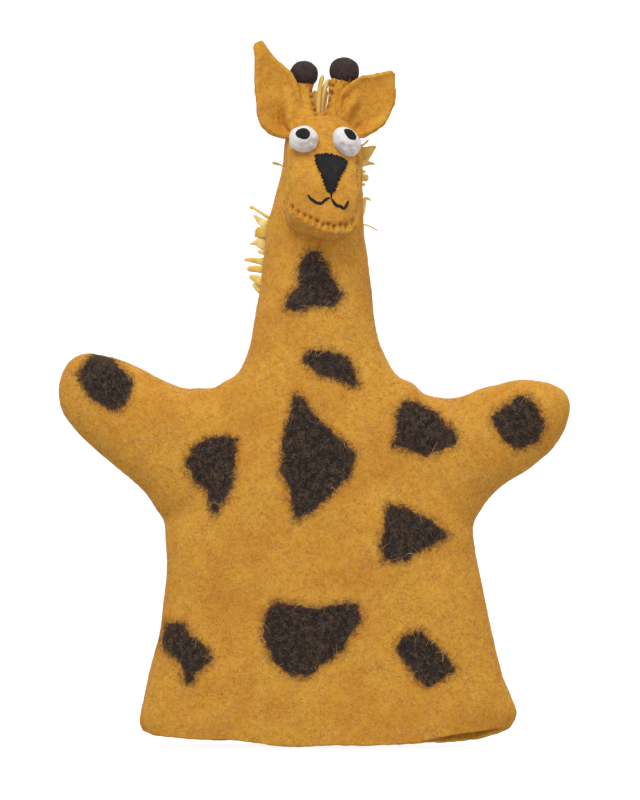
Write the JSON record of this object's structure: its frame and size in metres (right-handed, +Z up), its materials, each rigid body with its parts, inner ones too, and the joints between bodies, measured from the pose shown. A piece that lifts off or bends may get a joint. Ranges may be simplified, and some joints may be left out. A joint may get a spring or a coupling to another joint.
{
  "type": "giraffe hand puppet",
  "caption": "Seamless felted giraffe glove puppet with a padded stitched face, leaf ears, ball-tipped horns, a fringe mane and dark wool patches.",
  "frame": {"origin": "middle of the hand opening, in the plane of the hem", "axes": "+Z up along the body to the head, the face looks along -Y, +X is the puppet's own left"},
  "size_m": [0.2173, 0.0517, 0.2991],
  "materials": {
    "ochre_felt": "wet-felted wool, mustard ochre, fibrous and matt",
    "dark_wool": "dark brown wool felted into the surface, fuzzy edges",
    "white_wool": "white felted wool",
    "black_felt": "black felt and thread",
    "mane_felt": "pale yellow felt cut into fringe",
    "ochre_thread": "ochre sewing thread"
  },
  "bodies": {
    "torso": {"torso_felt": "ochre_felt", "patch_chest": "dark_wool", "patch_breast_left": "dark_wool", "patch_flank_right": "dark_wool", "patch_flank_left": "dark_wool", "patch_hem_centre": "dark_wool", "patch_hem_right": "dark_wool", "patch_hem_left": "dark_wool", "patch_back_shoulders": "dark_wool", "patch_back_flank_right": "dark_wool", "patch_back_flank_left": "dark_wool", "patch_back_centre": "dark_wool", "patch_back_hem_right": "dark_wool", "patch_back_hem_left": "dark_wool"},
    "upper_arm_right": {"shoulder_right": "ochre_felt"},
    "forearm_right": {"arm_right": "ochre_felt", "patch_arm_right": "dark_wool", "patch_back_arm_right": "dark_wool"},
    "upper_arm_left": {"shoulder_left": "ochre_felt"},
    "forearm_left": {"arm_left": "ochre_felt", "patch_arm_left": "dark_wool", "patch_back_arm_left": "dark_wool"},
    "neck": {"neck_base": "ochre_felt", "patch_neck_lower": "dark_wool"},
    "head": {"neck_and_skull": "ochre_felt", "patch_neck_upper": "dark_wool", "face_panel": "ochre_felt", "chin_gusset": "ochre_felt", "muzzle_stuffing": "white_wool", "chin_seam": "ochre_thread", "face_seam_left": "ochre_thread", "face_seam_right": "ochre_thread", "eye_left": "white_wool", "eye_right": "white_wool", "pupil_left": "black_felt", "pupil_right": "black_felt", "nose": "black_felt", "mouth_thread": "black_felt", "lip_stitch": "black_felt", "ear_root_left": "ochre_felt", "ear_root_right": "ochre_felt", "horn_left": "ochre_felt", "horn_right": "ochre_felt", "horn_ball_left": "dark_wool", "horn_ball_right": "dark_wool", "horn_seam_left": "ochre_thread", "horn_seam_right": "ochre_thread", "mane_band": "mane_felt", "mane_crest": "mane_felt", "mane_fringe_left": "mane_felt", "mane_fringe_right": "mane_felt"},
    "ear_left": {"ear_left": "ochre_felt"},
    "ear_right": {"ear_right": "ochre_felt"}
  },
  "joints": [
    {"name": "arm_right_raise", "type": "hinge", "parent": "torso", "child": "upper_arm_right", "pos_m": [-0.07075, 0, 0.13116], "axis": [0, 1, 0], "range_deg": [-25, 25], "stiffness_Nm_per_rad": 0.05, "deforming": ["shoulder_right"]},
    {"name": "arm_right_curl", "type": "hinge", "parent": "upper_arm_right", "child": "forearm_right", "pos_m": [-0.08263, 0, 0.13858], "axis": [0.5299, 0, 0.848], "range_deg": [-10, 45], "stiffness_Nm_per_rad": 0.03, "deforming": ["shoulder_right"]},
    {"name": "arm_left_raise", "type": "hinge", "parent": "torso", "child": "upper_arm_left", "pos_m": [0.06043, 0, 0.12576], "axis": [0, -1, 0], "range_deg": [-25, 25], "stiffness_Nm_per_rad": 0.05, "deforming": ["shoulder_left"]},
    {"name": "arm_left_curl", "type": "hinge", "parent": "upper_arm_left", "child": "forearm_left", "pos_m": [0.07235, 0, 0.1321], "axis": [0.4695, 0, -0.8829], "range_deg": [-10, 45], "stiffness_Nm_per_rad": 0.03, "deforming": ["shoulder_left"]},
    {"name": "neck_sway", "type": "hinge", "parent": "torso", "child": "neck", "pos_m": [-0.0055, 0, 0.162], "axis": [0, 1, 0], "range_deg": [-20, 20], "stiffness_Nm_per_rad": 0.35, "deforming": ["neck_base", "patch_neck_lower"]},
    {"name": "neck_bow", "type": "hinge", "parent": "neck", "child": "head", "pos_m": [-0.0055, 0, 0.177], "axis": [1, 0, 0], "range_deg": [-12, 40], "stiffness_Nm_per_rad": 0.3, "deforming": ["neck_base", "patch_neck_lower"]},
    {"name": "ear_right_flop", "type": "hinge", "parent": "head", "child": "ear_right", "pos_m": [-0.0169, -0.00516, 0.26633], "axis": [-0.9325, 0, -0.3612], "range_deg": [-25, 25], "stiffness_Nm_per_rad": 0.002, "deforming": ["ear_root_right"]},
    {"name": "ear_left_flop", "type": "hinge", "parent": "head", "child": "ear_left", "pos_m": [0.0121, -0.00516, 0.26841], "axis": [-0.7659, 0, 0.6429], "range_deg": [-25, 25], "stiffness_Nm_per_rad": 0.002, "deforming": ["ear_root_left"]}
  ]
}
